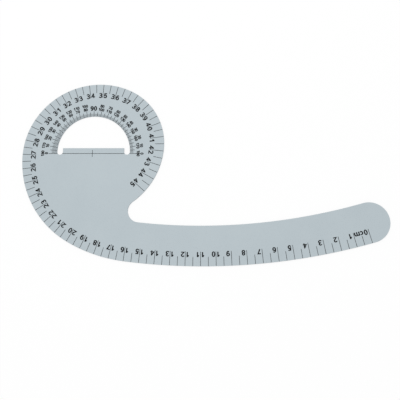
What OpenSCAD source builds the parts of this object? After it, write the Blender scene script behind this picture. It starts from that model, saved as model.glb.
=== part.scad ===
// Tailor ruler: one flat sheet with a round head and a long curved arm.
// A centimetre scale follows the outer edge from the arm's tip round the head to the throat.
// The head carries a protractor, printed round a half-round window.
// The origin is the protractor's centre on the underside, x runs along its baseline and z points up.

/* [Sheet] */
// Thickness of the sheet
sheet_t = 1; // [0.8:0.1:4]

/* [Arm] */
// Radius of the arm's outer edge
arm_r = 405; // [300:5:700]
// Length of the arm's outer edge
arm_l = 162; // [120:1:200]
// Width of the arm, which ends in a full round
arm_w = 26; // [18:0.5:32]
// Radius of the throat between the arm and the head
throat_r = 7.5; // [4:0.5:12]

/* [Head] */
// Radius of the heel, where the arm turns up into the head
heel_r = 100; // [80:1:130]
// Angle that the edge turns through along the heel
heel_turn = 23.4; // [18:0.1:28]
// Radius of the cheek, the head's lower left side
cheek_r = 64.5; // [58:0.5:72]
// Angle that the edge turns through along the cheek
cheek_turn = 60; // [54:1:66]
// Radius of the brow, the head's upper left side
brow_r = 50.5; // [47:0.5:56]
// Angle that the edge turns through along the brow
brow_turn = 112; // [100:1:120]
// Radius of the crown, the head's upper right side
crown_r = 41; // [38:0.5:46]
// Angle that the edge turns through along the crown
crown_turn = 73; // [66:1:82]
// Radius of the jaw, the head's lower right side
jaw_r = 49; // [44:0.5:54]
// Centre of the brow, to the right of the protractor's centre
brow_x = 3.25; // [0:0.25:6]
// Centre of the brow, above the protractor's centre
brow_y = -2.5; // [-6:0.25:2]

/* [Protractor window] */
// Radius of the window's arc
window_r = 24.5; // [20:0.25:26]
// Centre of the window's arc, to the right of the protractor's centre
window_x = 0.6; // [-1:0.1:1]
// Centre of the window's arc, above the protractor's centre
window_y = 1.2; // [0:0.1:1.5]
// Width of the slot on each side of the tongue
slot_w = 3.9; // [3:0.1:6]
// Height of the tongue's straight top above the baseline
tongue_top = 3.7; // [2.5:0.1:6]

/* [Centimetre scale] */
// Last centimetre of the scale
last_cm = 45; // [20:1:45]
// Distance from the arm's end to the zero tick, along the edge
zero_gap = 2.4; // [1:0.1:10]
// Length of a centimetre tick
cm_tick_l = 9.3; // [6:0.1:10]
// Length of a half centimetre tick
half_tick_l = 6; // [3:0.1:7]
// Width of the scale's lines
scale_line = 0.27; // [0.1:0.01:0.4]

/* [Protractor scale] */
// Length of a ten degree tick beyond the window's radius
ten_tick_l = 4.8; // [3:0.1:6]
// Length of a five degree tick beyond the window's radius
five_tick_l = 4; // [3:0.1:6]
// Length of a one degree tick beyond the window's radius
one_tick_l = 3; // [2:0.1:5]
// Width of the five and ten degree lines
ring_line = 0.26; // [0.1:0.01:0.4]
// Width of the one degree lines
fine_line = 0.1; // [0.06:0.01:0.2]
// Reach of the baseline to each side of the protractor's centre
baseline_l = 29.5; // [27:0.5:36]
// Length of the centre mark across the baseline
mark_l = 4.6; // [3:0.2:5]

/* [Ink] */
// Thickness of the printed ink
ink_t = 0.05; // [0.02:0.01:0.2]
// Bare strip between the ink and any edge of the sheet's top face
ink_gap = 0.1; // [0.05:0.05:0.3]

/* [Hidden] */
$fn = 180;
sheet_colour = [0.70, 0.74, 0.76];
ink_colour = [0.10, 0.11, 0.12];
cm = 10;
half_turn = 180;
past = 1;

function dir(a) = [cos(a), sin(a)];
function degrees(arc_length, r) = arc_length / r * half_turn / PI;

// The outer edge is a chain of arcs that run into each other without a corner.
// Each joint of two arcs is given by the direction in which the edge faces there.
cheek_brow = half_turn;
brow_crown = cheek_brow - brow_turn;
crown_jaw = brow_crown - crown_turn;
heel_cheek = cheek_brow + cheek_turn;
arm_heel = heel_cheek + heel_turn;
arm_end = arm_heel + degrees(arm_l, arm_r);

// Neighbouring centres lie on the line that both arcs are square to.
brow_c = [brow_x, brow_y];
crown_c = brow_c + (brow_r - crown_r) * dir(brow_crown);
jaw_c = crown_c + (crown_r - jaw_r) * dir(crown_jaw);
cheek_c = brow_c + (brow_r - cheek_r) * dir(cheek_brow);
heel_c = cheek_c + (cheek_r - heel_r) * dir(heel_cheek);
arm_c = heel_c + (heel_r - arm_r) * dir(arm_heel);

// The throat touches the arm's inner edge and the jaw.
inner_r = arm_r - arm_w;
arm_to_jaw = jaw_c - arm_c;
centres_apart = norm(arm_to_jaw);
throat_from_arm = inner_r - throat_r;
throat_from_jaw = jaw_r + throat_r;
along = (throat_from_arm ^ 2 - throat_from_jaw ^ 2 + centres_apart ^ 2) / (2 * centres_apart);
aside = sqrt(throat_from_arm ^ 2 - along ^ 2);
throat_c = arm_c + (along * arm_to_jaw + aside * [-arm_to_jaw.y, arm_to_jaw.x]) / centres_apart;
jaw_throat = atan2(throat_c.y - jaw_c.y, throat_c.x - jaw_c.x);
throat_arm = 2 * half_turn + atan2(throat_c.y - arm_c.y, throat_c.x - arm_c.x);
tip_c = arm_c + (arm_r - arm_w / 2) * dir(arm_end);

// Arcs with the scale, from the arm's tip to the throat: centre, radius, first and last direction.
SCALE_EDGE = [
    [arm_c, arm_r, arm_end, arm_heel],
    [heel_c, heel_r, arm_heel, heel_cheek],
    [cheek_c, cheek_r, heel_cheek, cheek_brow],
    [brow_c, brow_r, cheek_brow, brow_crown],
    [crown_c, crown_r, brow_crown, crown_jaw],
    [jaw_c, jaw_r, crown_jaw, jaw_throat]
];
// The rest of the outline: the throat, the arm's inner edge and the round tip.
REST = [
    [throat_c, throat_r, jaw_throat + half_turn, throat_arm],
    [arm_c, inner_r, throat_arm, arm_end],
    [tip_c, arm_w / 2, arm_end + half_turn, arm_end]
];

// An arc is drawn in steps no longer and no sharper than these.
step_l = 2;
step_turn = 4;

function arc_length(arc) = arc[1] * abs(arc[3] - arc[2]) * PI / half_turn;
function total(lengths, i = 0) = i < len(lengths) ? lengths[i] + total(lengths, i + 1) : 0;
scale_room = total([for (arc = SCALE_EDGE) arc_length(arc)]);

// Point of the scale's edge at a distance from the arm's end, and the direction it faces there.
function edge_at(s, i = 0) =
    let (arc = SCALE_EDGE[i], room = arc_length(arc), facing = arc[2] - degrees(s, arc[1]))
    s <= room || i == len(SCALE_EDGE) - 1
        ? [arc[0] + arc[1] * dir(facing), facing]
        : edge_at(s - room, i + 1);

// Points along one arc, without its last, which the next arc starts with.
function arc_points(arc) =
    let (
        turn = arc[3] - arc[2],
        steps = ceil(max(arc_length(arc) / step_l, abs(turn) / step_turn))
    )
    [for (k = [0:steps - 1]) arc[0] + arc[1] * dir(arc[2] + turn * k / steps)];

// Distance from the protractor's centre to the window's arc, in one direction.
function window_edge(a) =
    let (offset = [window_x, window_y], forward = offset * dir(a))
    forward + sqrt(window_r ^ 2 - offset * offset + forward ^ 2);

// Half of a disc, above the x axis.
module half_disc(r) {
    intersection() {
        circle(r);
        translate([-2 * r, 0])
            square([4 * r, 2 * r]);
    }
}

// Half-round window with a tongue that leaves a round-ended slot on each side.
module window() {
    tongue_w = 2 * (window_r - slot_w);
    translate([window_x, window_y]) {
        difference() {
            half_disc(window_r);
            translate([-tongue_w / 2, -past])
                square([tongue_w, past + tongue_top - window_y]);
        }
        for (side = [-1, 1])
            translate([side * (window_r - slot_w / 2), 0])
                rotate(half_turn)
                    half_disc(slot_w / 2);
    }
}

module plate() {
    color(sheet_colour)
        linear_extrude(sheet_t)
            difference() {
                polygon([for (arc = concat(SCALE_EDGE, REST)) each arc_points(arc)]);
                window();
            }
}

// One line of ink from the outer edge inwards, square to it.
module edge_tick(s, l) {
    place = edge_at(s);
    translate([place[0].x, place[0].y, sheet_t])
        rotate(place[1])
            translate([-l, -scale_line / 2, 0])
                cube([l - ink_gap, scale_line, ink_t]);
}

// Lines of the centimetre scale, as many as the edge has room for.
module scale_ticks(first, step, last, l) {
    for (mark = [first:step:last])
        if (zero_gap + mark < scale_room)
            edge_tick(zero_gap + mark, l);
}

module centimetre_ticks() {
    color(ink_colour)
        scale_ticks(0, cm, last_cm * cm, cm_tick_l);
}

module half_centimetre_ticks() {
    color(ink_colour)
        scale_ticks(cm / 2, cm, last_cm * cm, half_tick_l);
}

// One line of the protractor, from the window's edge outwards.
module ring_tick(a, l, w) {
    start = window_edge(a) + ink_gap;
    rotate(a)
        translate([start, -w / 2, sheet_t])
            cube([window_r + l - start, w, ink_t]);
}

module ten_degree_ticks() {
    color(ink_colour)
        for (a = [10:10:170])
            ring_tick(a, ten_tick_l, ring_line);
}

module five_degree_ticks() {
    color(ink_colour)
        for (a = [5:10:175])
            ring_tick(a, five_tick_l, ring_line);
}

module one_degree_ticks() {
    color(ink_colour)
        for (a = [1:179])
            if (a % 5 != 0)
                ring_tick(a, one_tick_l, fine_line);
}

// The slots cut the baseline in three.
module baseline() {
    clear_r = slot_w / 2 + ink_gap;
    color(ink_colour)
        difference() {
            translate([-baseline_l, -scale_line / 2, sheet_t])
                cube([2 * baseline_l, scale_line, ink_t]);
            for (side = [-1, 1])
                translate([window_x + side * (window_r - slot_w / 2), window_y, sheet_t - past]) {
                    cylinder(r = clear_r, h = 2 * past);
                    translate([-clear_r, 0, 0])
                        cube([2 * clear_r, tongue_top, 2 * past]);
                }
        }
}

// Two halves that meet the baseline from above and below.
module centre_mark() {
    color(ink_colour)
        for (a = [0, half_turn])
            rotate(a)
                translate([-scale_line / 2, scale_line / 2, sheet_t])
                    cube([scale_line, mark_l / 2 - scale_line / 2, ink_t]);
}

plate();
centimetre_ticks();
half_centimetre_ticks();
ten_degree_ticks();
five_degree_ticks();
one_degree_ticks();
baseline();
centre_mark();
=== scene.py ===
"""Looks of a tailor's curved ruler: a satin grey sheet with black printed scales and numerals."""

import math

import bmesh
import bpy
from mathutils import Matrix, Quaternion, Vector, geometry


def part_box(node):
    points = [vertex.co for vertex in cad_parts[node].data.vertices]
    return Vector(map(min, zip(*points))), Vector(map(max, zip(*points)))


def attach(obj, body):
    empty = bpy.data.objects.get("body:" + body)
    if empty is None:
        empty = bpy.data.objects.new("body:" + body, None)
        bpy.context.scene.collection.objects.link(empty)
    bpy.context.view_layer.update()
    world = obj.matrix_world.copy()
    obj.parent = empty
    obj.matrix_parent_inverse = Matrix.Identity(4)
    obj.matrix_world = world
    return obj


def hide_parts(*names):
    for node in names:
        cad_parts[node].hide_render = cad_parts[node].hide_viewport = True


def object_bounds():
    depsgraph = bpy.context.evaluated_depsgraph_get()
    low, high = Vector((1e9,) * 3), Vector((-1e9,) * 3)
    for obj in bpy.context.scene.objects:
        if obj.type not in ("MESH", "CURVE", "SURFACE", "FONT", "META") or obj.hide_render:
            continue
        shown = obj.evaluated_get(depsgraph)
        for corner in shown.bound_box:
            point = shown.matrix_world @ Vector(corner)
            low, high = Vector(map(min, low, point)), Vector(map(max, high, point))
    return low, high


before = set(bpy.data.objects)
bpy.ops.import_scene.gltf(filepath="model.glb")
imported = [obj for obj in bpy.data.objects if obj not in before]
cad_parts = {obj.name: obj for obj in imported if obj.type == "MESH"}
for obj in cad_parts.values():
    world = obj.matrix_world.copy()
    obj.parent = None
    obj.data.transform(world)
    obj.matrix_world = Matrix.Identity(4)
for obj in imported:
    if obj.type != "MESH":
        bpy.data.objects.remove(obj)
cad_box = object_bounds()

MM = 0.001
UP = Vector((0, 0, 1))

# The photographed view: the camera's axis meets the printed face here, a little off the square.
LENS = 50
AIM_X = 72.1 * MM
AIM_Y = -31.0 * MM
CAMERA_AWAY = 360.7 * MM
CAMERA_TILT = math.radians(9.71)
LEAN_TOWARDS = math.radians(-71.85)
CAMERA_ROLL = math.radians(72.34)

# The outer edge from the arm's end to the throat: each arc's radius and the angle it turns through.
ARM_R = 405 * MM
ARM_L = 162 * MM
EDGE_ARCS = [
    (ARM_R, ARM_L / ARM_R),
    (100 * MM, math.radians(23.4)),
    (64.5 * MM, math.radians(60)),
    (50.5 * MM, math.radians(112)),
    (41 * MM, math.radians(73)),
    (49 * MM, math.radians(49)),
]
# The first three arcs end at the sheet's leftmost point, where the edge faces straight left.
ARCS_TO_LEFTMOST = 3
LEFTMOST_Y = -2.5 * MM
FACING_LEFT = math.pi

# The centimetre scale: its zero tick, and the numerals between the ticks' inner ends.
ZERO_GAP = 2.4 * MM
CM = 10 * MM
LAST_CM = 45
CM_HEIGHT = 3.55 * MM
CM_DIGIT_STEP = 3.25 * MM
CM_SINGLE_SHIFT = 2.1 * MM
UNIT_SHIFTS = {"c": 4.8 * MM, "m": 7.65 * MM}
# The print sits a little askew on the cut sheet: the depth of the numerals' feet at some centimetres.
FOOT_DEPTHS = {
    0: 9.5 * MM,
    9: 9.5 * MM,
    14: 9.1 * MM,
    19: 9.0 * MM,
    22: 9.5 * MM,
    26: 9.2 * MM,
    31: 9.9 * MM,
    36: 9.4 * MM,
    42: 10.1 * MM,
    LAST_CM: 11.0 * MM,
}

# The protractor's two rows of numerals and the larger 90 between them.
RING_STEP = 10
HALF_TURN = 180
RIGHT_ANGLE = 90
RING_CENTRE = Vector((-0.15 * MM, -0.2 * MM))
INNER_BASE_R = 29.75 * MM
OUTER_BASE_R = 32.25 * MM
RING_HEIGHT = 2.2 * MM
RING_DIGIT_STEP = 1.4 * MM
TRIPLE = 3
TRIPLE_SHIFT = -0.25 * MM
RIGHT_ANGLE_BASE_R = 29.75 * MM
RIGHT_ANGLE_HEIGHT = 3.3 * MM
RIGHT_ANGLE_DIGIT_STEP = 2.4 * MM
# Here too the print sits askew: how far its numerals are moved along at some degrees.
RING_SHIFTS = {
    0: -0.1 * MM,
    40: 0.15 * MM,
    60: 0.0 * MM,
    110: -0.35 * MM,
    140: 0.05 * MM,
    170: 0.2 * MM,
    HALF_TURN: 0.5 * MM,
}

# Numerals are drawn with a pen that is wider than it is tall, in a cell whose height is 1.
# Two signs take a thinner pen, so that they look no bolder than the rest.
CM_WIDTH = 0.66
CM_PEN = 0.225
RING_WIDTH = 0.64
RING_PEN = 0.245
PEN_TALL = 0.8
THIN_SIGNS = {"1": 0.94, "4": 0.88}
ARC_STEP = math.radians(12)
MITRE_LIMIT = 1.8
SIGN_TOP = 2
SAME_POINT = 1e-5

# The sheet's cut edges are rubbed down to a small round.
EDGE_ROUND = 0.2 * MM
EDGE_STEPS = 3
ROUND_PROFILE = 0.5
WELD = 0.001 * MM
FLAT_ENOUGH = 0.99
SHARP_CORNER = math.radians(40)

# Colours, as linear red, green and blue.
SHEET_PALE = (0.452, 0.518, 0.550, 1)
SHEET_DEEP = (0.426, 0.491, 0.525, 1)
# The cut walls and rounds: partly their own cut finish, partly painted shade that darkens them as if
# they were in shadow.
SHEET_CUT_AND_SHADE = (0.270, 0.310, 0.340, 1)
INK_DEEP = (0.004, 0.004, 0.005, 1)
INK_THIN = (0.009, 0.010, 0.012, 1)
WHITE = (1, 1, 1, 1)
FLOOR_WHITE = (0.97, 0.97, 0.97, 1)

# Noises of the finishes: repeats per millimetre and detail.
CLOUDS = (0.035, 3.0)
MOTTLE = (0.4, 4.0)
SHEET_GRAIN = (3.2, 2.0)
HAIRLINES = (1.0, 2.0)
PATCHES = (0.06, 2.0)
INK_BLOTS = (0.9, 3.0)
INK_GRAIN = (6.0, 2.0)
HAIRLINE_STRETCH = (0.03, 3.0, 1.0)
HAIRLINE_TURN = math.radians(24)
CROSSED_TURN = math.radians(-38)

# Bands of a noise or a slope: where an effect starts and where it is full.
HAIRLINE_BAND = (0.66, 0.72)
PATCH_BAND = (0.48, 0.62)
SHADE_BAND = (0.3, 0.7)
CUT_BAND = (0.1, 0.8)
THIN_BAND = (0.45, 0.75)

# How much of each shows in the shade, the roughness and the relief.
CLOUD_SHADE = 0.5
MOTTLE_SHADE = 0.25
GRAIN_SHADE = 0.25
SHEET_ROUGHNESS = 0.40
MOTTLE_ROUGHNESS = 0.08
HAIRLINE_ROUGHNESS = 0.10
CUT_ROUGHNESS = 0.12
GRAIN_RELIEF = 0.6
MOTTLE_RELIEF = 0.3
HAIRLINE_RELIEF = 0.5
SHEET_BUMP = 0.35
SHEET_BUMP_DEPTH = 0.02 * MM
SHEET_IOR = 1.46
INK_ROUGHNESS = 0.48
BLOT_ROUGHNESS = 0.15
INK_BUMP = 0.3
INK_BUMP_DEPTH = 0.01 * MM
INK_SHEEN = 0.1

# Studio: an even dome, a large soft lamp on the head's side and a floor that fades into the backdrop.
DOME_LEVEL = 0.78
BACKDROP_SHARE = 0.8
FADE_FROM = 0.4
FADE_TO = 1.2
FLOOR_SIZE = 6.0
FLOOR_DROP = 0.02 * MM
LAMP_AT = Vector((-0.1, 0.35, 1.1))
LAMP_SIZE = 0.9
LAMP_POWER = 4.1

# Numbers of a Mix node's sockets for colours.
MIX_SHARE = 0
MIX_FIRST = 6
MIX_SECOND = 7
MIX_COLOUR = 2

printed_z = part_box("plate")[1].z
ink_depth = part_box("centimetre_ticks")[1].z - printed_z


class Wire:
    """A node's output. Sums written with it add Math nodes."""

    def __init__(self, finish, socket):
        self.finish = finish
        self.socket = socket

    def math(self, operation, first, second=0.0):
        return self.finish.node("Math", {"operation": operation}, {0: first, 1: second})

    def __add__(self, other):
        return self.math("ADD", self, other)

    def __radd__(self, other):
        return self.math("ADD", other, self)

    def __sub__(self, other):
        return self.math("SUBTRACT", self, other)

    def __rsub__(self, other):
        return self.math("SUBTRACT", other, self)

    def __mul__(self, other):
        return self.math("MULTIPLY", self, other)

    def __rmul__(self, other):
        return self.math("MULTIPLY", other, self)

    def __abs__(self):
        return self.math("ABSOLUTE", self)

    def over(self, low, high):
        """0 below low, 1 above high, and a soft step between them."""
        settings = {"interpolation_type": "SMOOTHSTEP"}
        sockets = {"Value": self, "From Min": low, "From Max": high}
        return self.finish.node("MapRange", settings, sockets)

    def most(self, other):
        return self.math("MAXIMUM", self, other)


class Finish:
    """The node tree of a material or of the world, built one node at a time."""

    def __init__(self, owner):
        owner.use_nodes = True
        self.tree = owner.node_tree
        self.tree.nodes.clear()

    def node(self, kind, settings, sockets, output=0):
        """Adds a node, sets it up, then fills its sockets with values or links."""
        made = self.tree.nodes.new("ShaderNode" + kind)
        for name, value in settings.items():
            setattr(made, name, value)
        for name, value in sockets.items():
            if isinstance(value, Wire):
                self.tree.links.new(value.socket, made.inputs[name])
            else:
                made.inputs[name].default_value = value
        return Wire(self, made.outputs[output]) if made.outputs else None

    def blend(self, share, first, second):
        """One colour fading into another."""
        sockets = {MIX_SHARE: share, MIX_FIRST: first, MIX_SECOND: second}
        return self.node("Mix", {"data_type": "RGBA"}, sockets, MIX_COLOUR)

    def place_mm(self, scale=(1, 1, 1), turn=0.0):
        """The place on the object in millimetres, turned about the upright axis and stretched."""
        place = self.node("TexCoord", {}, {}, "Object")
        in_mm = tuple(s / MM for s in scale)
        return self.node("Mapping", {}, {"Vector": place, "Rotation": (0, 0, turn), "Scale": in_mm})

    def noise(self, place, scale, detail):
        return self.node("TexNoise", {}, {"Vector": place, "Scale": scale, "Detail": detail}, "Fac")

    def bump(self, height, strength, depth):
        return self.node("Bump", {}, {"Strength": strength, "Distance": depth, "Height": height})

    def output(self, shader, kind="OutputMaterial"):
        self.node(kind, {}, {"Surface": shader})


def hairlines(finish, turn):
    """Fine rubbed lines in one direction, in patches."""
    lines = finish.noise(finish.place_mm(HAIRLINE_STRETCH, turn), *HAIRLINES)
    patches = finish.noise(finish.place_mm(), *PATCHES)
    return lines.over(*HAIRLINE_BAND) * patches.over(*PATCH_BAND)


def satin_sheet():
    """Pale blue-grey plastic with a fine moulded grain, faint clouds and hairlines from use; its cut
    walls and rounds are darker, partly from their rougher cut finish and partly from painted shade.
    """
    material = bpy.data.materials.new("satin_sheet")
    finish = Finish(material)
    place = finish.place_mm()
    clouds = finish.noise(place, *CLOUDS)
    mottle = finish.noise(place, *MOTTLE)
    grain = finish.noise(place, *SHEET_GRAIN)
    rubbed = hairlines(finish, HAIRLINE_TURN).most(hairlines(finish, CROSSED_TURN))
    normal = finish.node("NewGeometry", {}, {}, "Normal")
    upright = finish.node("SeparateXYZ", {}, {"Vector": normal}, "Z")
    # Slope mask of the cut walls and rounds: it makes them rougher and blends in their darker colour,
    # which is partly painted shade.
    cut_edge_and_shade = (1 - abs(upright)).over(*CUT_BAND)

    shade = clouds * CLOUD_SHADE + mottle * MOTTLE_SHADE + grain * GRAIN_SHADE
    face = finish.blend(shade.over(*SHADE_BAND), SHEET_DEEP, SHEET_PALE)
    worn = mottle * MOTTLE_ROUGHNESS + rubbed * HAIRLINE_ROUGHNESS + cut_edge_and_shade * CUT_ROUGHNESS
    relief = grain * GRAIN_RELIEF + mottle * MOTTLE_RELIEF - rubbed * HAIRLINE_RELIEF
    shader = finish.node("BsdfPrincipled", {}, {
        # Painted shade: the walls and rounds are darkened in the colour itself, as well as given their
        # cut finish.
        "Base Color": finish.blend(cut_edge_and_shade, face, SHEET_CUT_AND_SHADE),
        "Roughness": SHEET_ROUGHNESS + worn,
        "IOR": SHEET_IOR,
        "Normal": finish.bump(relief, SHEET_BUMP, SHEET_BUMP_DEPTH),
    })
    finish.output(shader)
    return material


def printing_ink():
    """Matt black ink, a little thinner in places."""
    material = bpy.data.materials.new("printing_ink")
    finish = Finish(material)
    place = finish.place_mm()
    blots = finish.noise(place, *INK_BLOTS)
    grain = finish.noise(place, *INK_GRAIN)
    shader = finish.node("BsdfPrincipled", {}, {
        "Base Color": finish.blend(blots.over(*THIN_BAND), INK_DEEP, INK_THIN),
        "Roughness": INK_ROUGHNESS + blots * BLOT_ROUGHNESS,
        "Specular IOR Level": INK_SHEEN,
        "Normal": finish.bump(grain, INK_BUMP, INK_BUMP_DEPTH),
    })
    finish.output(shader)
    return material


def seen_directly(finish):
    """1 where the camera, a mirror or glass looks at the backdrop, and 0 where it gives light."""
    camera = finish.node("LightPath", {}, {}, "Is Camera Ray")
    glossy = finish.node("LightPath", {}, {}, "Is Glossy Ray")
    through = finish.node("LightPath", {}, {}, "Is Transmission Ray")
    return camera.most(glossy).most(through)


def studio_floor():
    """White floor that keeps the object's soft shadow and fades into the backdrop further out."""
    material = bpy.data.materials.new("studio_floor")
    finish = Finish(material)
    matt = finish.node("BsdfDiffuse", {}, {"Color": FLOOR_WHITE})
    white = finish.node("Emission", {}, {"Color": WHITE, "Strength": 1.0})
    place = finish.node("TexCoord", {}, {}, "Object")
    away = finish.node("VectorMath", {"operation": "LENGTH"}, {0: place}, "Value")
    far = away.over(FADE_FROM, FADE_TO)
    share = seen_directly(finish) * (BACKDROP_SHARE + far * (1 - BACKDROP_SHARE))
    finish.output(finish.node("MixShader", {}, {0: share, 1: matt, 2: white}))
    return material


def facing_way(facing):
    return Vector((math.cos(facing), math.sin(facing)))


def line(*corners):
    """A stroke through some corners. Its sides are found where it is drawn."""
    return [(Vector(corner), None) for corner in corners]


def arc(x, y, rx, ry, start, end):
    """A stroke along part of an ellipse: each point and the way to its left side."""
    first = math.radians(start)
    turn = math.radians(end - start)
    steps = math.ceil(abs(turn) / ARC_STEP)
    leftwards = -1 if turn > 0 else 1
    ways = [facing_way(first + turn * k / steps) for k in range(steps + 1)]
    return [(Vector((x + rx * way.x, y + ry * way.y)), way * leftwards) for way in ways]


def ring(x, y, rx, ry):
    return arc(x, y, rx, ry, HALF_TURN, -HALF_TURN)


def half_turned(strokes):
    """The same strokes upside down, as a 9 is to a 6."""
    turned = []
    for stroke in strokes:
        turned.append([(Vector((-p.x, SIGN_TOP - p.y)), left and -left) for p, left in stroke])
    return turned


SIX = [
    ring(0, 0.62, 1, 0.62),
    arc(0.1, 0.85, 1.1, 1.15, 190, 48),
]
# The pen's path for each sign: x from -1 to 1 across a digit, y from 0 at its foot to 2 at its top.
PEN_PATHS = {
    "0": [ring(-0.1, 1, 1, 1)],
    "1": [
        line((0.5, 0.2), (0.5, 2)),
        line((-0.35, 1.53), (0.5, 1.53)),
        line((-0.16, 1.77), (0.11, 1.92)),
    ],
    "2": [arc(0, 1.45, 1, 0.55, 165, -35) + line((-1, 0.1), (1, 0.1))],
    "3": [
        arc(0, 1.52, 0.92, 0.48, 160, -90) + line((-0.1, 1.04)),
        arc(0, 0.52, 1.08, 0.52, 90, -160),
    ],
    "4": [line((0.55, 0.2), (0.55, 2)), line((0.35, 1.9), (-1.1, 0.6), (1.15, 0.6))],
    "5": [line((0.85, 2), (-0.5, 2), (-0.65, 0.95)), arc(0, 0.66, 1, 0.66, 150, -165)],
    "6": SIX,
    "7": [line((-1.05, 2), (0.8, 2), (-0.75, 0.2))],
    "8": [ring(0, 1.5, 0.88, 0.5), ring(0, 0.52, 1, 0.52)],
    "9": half_turned(SIX),
    "c": [arc(0, 0.8, 0.95, 0.66, 40, 320)],
    "m": [
        line((-1.8, 0.14), (-1.8, 1.46)),
        arc(-0.9, 0.96, 0.9, 0.5, 180, 0) + line((0, 0.14)),
        arc(0.9, 0.96, 0.9, 0.5, 180, 0) + line((1.8, 0.14)),
    ],
}


def mitre(way_in, way_out):
    """The way to a stroke's left side at one of its corners, longer where it bends."""
    mean = (way_in + way_out).normalized()
    reach = min(1 / mean.dot(way_out), MITRE_LIMIT)
    return Vector((-mean.y, mean.x)) * reach


def ribbon(stroke, pen):
    """Four-cornered faces that cover a stroke of the pen. Straight strokes get square ends."""
    points = [point for point, left in stroke]
    ways = [(b - a).normalized() for a, b in zip(points, points[1:])]
    sides = []
    for k, (point, left) in enumerate(stroke):
        way_in = ways[max(k - 1, 0)]
        way_out = ways[min(k, len(ways) - 1)]
        if left is None:
            left = mitre(way_in, way_out)
            if k == 0:
                point = point - way_out * pen / 2
            if k == len(ways):
                point = point + way_in * pen / 2
        sides.append((point + left * pen / 2, point - left * pen / 2))
    return [(r, next_r, next_l, l) for (l, r), (next_l, next_r) in zip(sides, sides[1:])]


def sign_shape(sign, width, pen):
    """Corners and triangles of one sign in a cell of height 1, its strokes merged into one area."""
    pen *= THIN_SIGNS.get(sign, 1)
    half_w = (width - pen) / 2
    half_h = (1 / PEN_TALL - pen) / 2
    faces = []
    for path in PEN_PATHS[sign]:
        stroke = [(Vector((p.x * half_w, pen / 2 + p.y * half_h)), left) for p, left in path]
        faces += ribbon(stroke, pen)
    corners = [Vector((corner.x, corner.y * PEN_TALL)) for face in faces for corner in face]
    order = [list(range(k, k + 4)) for k in range(0, len(corners), 4)]
    merged = geometry.delaunay_2d_cdt(corners, [], order, 0, SAME_POINT)
    covered = [face for face, sources in zip(merged[2], merged[5]) if sources]
    return merged[0], covered


class Print:
    """Ink of one kind of numeral, gathered into one piece."""

    def __init__(self, name, height, width, pen):
        self.name = name
        self.height = height
        self.ink = bmesh.new()
        self.signs = {sign: sign_shape(sign, width, pen) for sign in PEN_PATHS}

    def sign(self, sign, place, shift):
        """Prints one sign, moved along its line of writing."""
        corners, triangles = self.signs[sign]
        to_sheet = place @ Matrix.Translation((shift, 0, 0)) @ Matrix.Scale(self.height, 4)
        made = [self.ink.verts.new(to_sheet @ c.to_3d()) for c in corners]
        for triangle in triangles:
            self.ink.faces.new([made[k] for k in triangle])

    def word(self, word, place, step, shift=0.0):
        """Prints the digits of a number, centred on its place and then moved along."""
        first = shift - step * (len(word) - 1) / 2
        for k, digit in enumerate(word):
            self.sign(digit, place, first + k * step)

    def piece(self, material):
        """The printed film as a piece on the sheet's face."""
        loose = [v for v in self.ink.verts if not v.link_faces]
        bmesh.ops.delete(self.ink, geom=loose, context="VERTS")
        bmesh.ops.remove_doubles(self.ink, verts=self.ink.verts[:], dist=WELD)
        film = bmesh.ops.extrude_face_region(self.ink, geom=self.ink.faces[:])
        raised = [v for v in film["geom"] if isinstance(v, bmesh.types.BMVert)]
        bmesh.ops.translate(self.ink, verts=raised, vec=UP * ink_depth)
        bmesh.ops.recalc_face_normals(self.ink, faces=self.ink.faces[:])
        add_piece(self.name, self.ink, material)


def add_piece(name, shape, material):
    """Turns a finished shape into a piece that rides on the ruler."""
    mesh = bpy.data.meshes.new(name)
    shape.to_mesh(mesh)
    shape.free()
    mesh.materials.append(material)
    piece = bpy.data.objects.new(name, mesh)
    bpy.context.scene.collection.objects.link(piece)
    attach(piece, "root")
    return piece


def edge_chain():
    """The scale's arcs from the arm's end: centre, radius, first facing and turn."""
    point = Vector((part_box("plate")[0].x, LEFTMOST_Y))
    facing = FACING_LEFT
    for radius, turn in reversed(EDGE_ARCS[:ARCS_TO_LEFTMOST]):
        centre = point - radius * facing_way(facing)
        facing += turn
        point = centre + radius * facing_way(facing)
    chain = []
    for radius, turn in EDGE_ARCS:
        centre = point - radius * facing_way(facing)
        chain.append((centre, radius, facing, turn))
        facing -= turn
        point = centre + radius * facing_way(facing)
    return chain


def edge_at(chain, distance):
    """Point of the outer edge at a distance from the arm's end, and the way it faces."""
    for centre, radius, facing, turn in chain:
        angle = distance / radius
        if angle <= turn:
            break
        distance -= turn * radius
    facing -= angle
    return centre + radius * facing_way(facing), facing


def between(given, number):
    """The size at a number of a scale, between the sizes that are given for some of its numbers."""
    marks = list(given)
    for first, last in zip(marks, marks[1:]):
        if number <= last:
            break
    share = (number - first) / (last - first)
    return given[first] * (1 - share) + given[last] * share


def writing_place(foot, facing):
    """Where a sign stands on the printed face: its foot here, its top towards the way it faces."""
    turn = Matrix.Rotation(facing - math.pi / 2, 4, "Z")
    return Matrix.Translation((foot.x, foot.y, printed_z)) @ turn


def centimetre_numerals(ink):
    """0 to 45 along the outer edge: one digit stands after its tick, two stand on both sides of it."""
    numerals = Print("centimetre_numerals", CM_HEIGHT, CM_WIDTH, CM_PEN)
    chain = edge_chain()
    for number in range(LAST_CM + 1):
        point, facing = edge_at(chain, ZERO_GAP + number * CM)
        place = writing_place(point - between(FOOT_DEPTHS, number) * facing_way(facing), facing)
        word = str(number)
        numerals.word(word, place, CM_DIGIT_STEP, CM_SINGLE_SHIFT if len(word) == 1 else 0.0)
        if number == 0:
            for sign, shift in UNIT_SHIFTS.items():
                numerals.sign(sign, place, shift)
    numerals.piece(ink)


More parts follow.
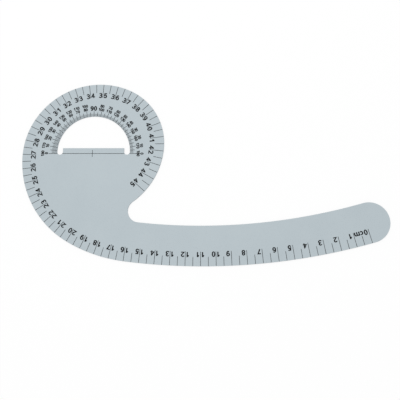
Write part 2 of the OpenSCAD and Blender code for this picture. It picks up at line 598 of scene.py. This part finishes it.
def ring_numerals(name, ink, base_r, number_at):
    """One row of the protractor, without its right angle."""
    numerals = Print(name, RING_HEIGHT, RING_WIDTH, RING_PEN)
    for degrees in range(0, HALF_TURN + RING_STEP, RING_STEP):
        if degrees != RIGHT_ANGLE:
            facing = math.radians(degrees)
            place = writing_place(RING_CENTRE + base_r * facing_way(facing), facing)
            word = str(number_at(degrees))
            shift = between(RING_SHIFTS, degrees)
            if len(word) == TRIPLE:
                shift += TRIPLE_SHIFT
            numerals.word(word, place, RING_DIGIT_STEP, shift)
    numerals.piece(ink)


def right_angle_numeral(ink):
    """The larger 90 at the top of the protractor."""
    numeral = Print("right_angle_numeral", RIGHT_ANGLE_HEIGHT, CM_WIDTH, RING_PEN)
    facing = math.radians(RIGHT_ANGLE)
    place = writing_place(RING_CENTRE + RIGHT_ANGLE_BASE_R * facing_way(facing), facing)
    numeral.word(str(RIGHT_ANGLE), place, RIGHT_ANGLE_DIGIT_STEP, between(RING_SHIFTS, RIGHT_ANGLE))
    numeral.piece(ink)


def lies_flat(face):
    return abs(face.normal.z) > FLAT_ENOUGH


def eased_sheet(material):
    """The sheet with its cut edges rubbed down to a small round."""
    shape = bmesh.new()
    shape.from_mesh(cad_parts["plate"].data)
    bmesh.ops.remove_doubles(shape, verts=shape.verts, dist=WELD)
    inside = [e for e in shape.edges if all(lies_flat(f) for f in e.link_faces)]
    bmesh.ops.dissolve_edges(shape, edges=inside, use_verts=False)
    rim = [e for e in shape.edges if sum(lies_flat(f) for f in e.link_faces) == 1]
    bmesh.ops.bevel(
        shape,
        geom=rim,
        offset=EDGE_ROUND,
        segments=EDGE_STEPS,
        profile=ROUND_PROFILE,
        affect="EDGES",
        clamp_overlap=True,
    )
    for face in shape.faces:
        face.smooth = True
    piece = add_piece("sheet", shape, material)
    piece.data.set_sharp_from_angle(angle=SHARP_CORNER)
    flatten = piece.modifiers.new("flat faces", "WEIGHTED_NORMAL")
    flatten.keep_sharp = True
    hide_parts("plate")


def lay_floor():
    """Pale floor just below the sheet."""
    half = FLOOR_SIZE / 2
    level = cad_box[0].z - FLOOR_DROP
    corners = [(-half, -half, level), (half, -half, level), (half, half, level), (-half, half, level)]
    mesh = bpy.data.meshes.new("floor")
    mesh.from_pydata(corners, [], [(0, 1, 2, 3)])
    mesh.materials.append(studio_floor())
    floor = bpy.data.objects.new("floor", mesh)
    bpy.context.scene.collection.objects.link(floor)


def light_dome():
    """Even white light from all round, in front of a white backdrop."""
    bpy.context.scene.world = bpy.data.worlds.new("studio_dome")
    dome = Finish(bpy.context.scene.world)
    strength = DOME_LEVEL + seen_directly(dome) * (1 - DOME_LEVEL)
    dome.output(dome.node("Background", {}, {"Color": WHITE, "Strength": strength}), "OutputWorld")


def hang_lamp():
    """One large soft lamp that points at the protractor's centre."""
    lamp = bpy.data.lights.new("soft_lamp", "AREA")
    lamp.size = LAMP_SIZE
    lamp.energy = LAMP_POWER
    lamp_at = bpy.data.objects.new("soft_lamp", lamp)
    lamp_at.location = LAMP_AT
    lamp_at.rotation_euler = (-LAMP_AT).to_track_quat("-Z", "Y").to_euler()
    bpy.context.scene.collection.objects.link(lamp_at)


def photo_camera():
    """Camera almost square above the sheet, leaning a little towards the arm's outer edge."""
    lean = facing_way(LEAN_TOWARDS).to_3d()
    back = UP * math.cos(CAMERA_TILT) + lean * math.sin(CAMERA_TILT)
    towards_lean = lean * math.cos(CAMERA_TILT) - UP * math.sin(CAMERA_TILT)
    right = Quaternion(back, CAMERA_ROLL) @ towards_lean
    axes = Matrix((right, back.cross(right), back)).transposed().to_4x4()
    data = bpy.data.cameras.new("camera")
    data.lens = LENS
    camera = bpy.data.objects.new("camera", data)
    aim = Vector((AIM_X, AIM_Y, printed_z))
    camera.matrix_world = Matrix.Translation(aim + back * CAMERA_AWAY) @ axes
    bpy.context.scene.collection.objects.link(camera)
    bpy.context.scene.camera = camera


def dress():
    """Gives the printed lines their ink and adds the pieces that the solids leave out."""
    ink = printing_ink()
    for name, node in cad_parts.items():
        if name != "plate":
            node.data.materials.clear()
            node.data.materials.append(ink)
    eased_sheet(satin_sheet())
    centimetre_numerals(ink)
    ring_numerals("outer_degree_numerals", ink, OUTER_BASE_R, lambda degrees: degrees)
    ring_numerals("inner_degree_numerals", ink, INNER_BASE_R, lambda degrees: HALF_TURN - degrees)
    right_angle_numeral(ink)


bpy.context.scene.view_settings.view_transform = "Standard"
photo_camera()
lay_floor()
light_dome()
hang_lamp()
dress()
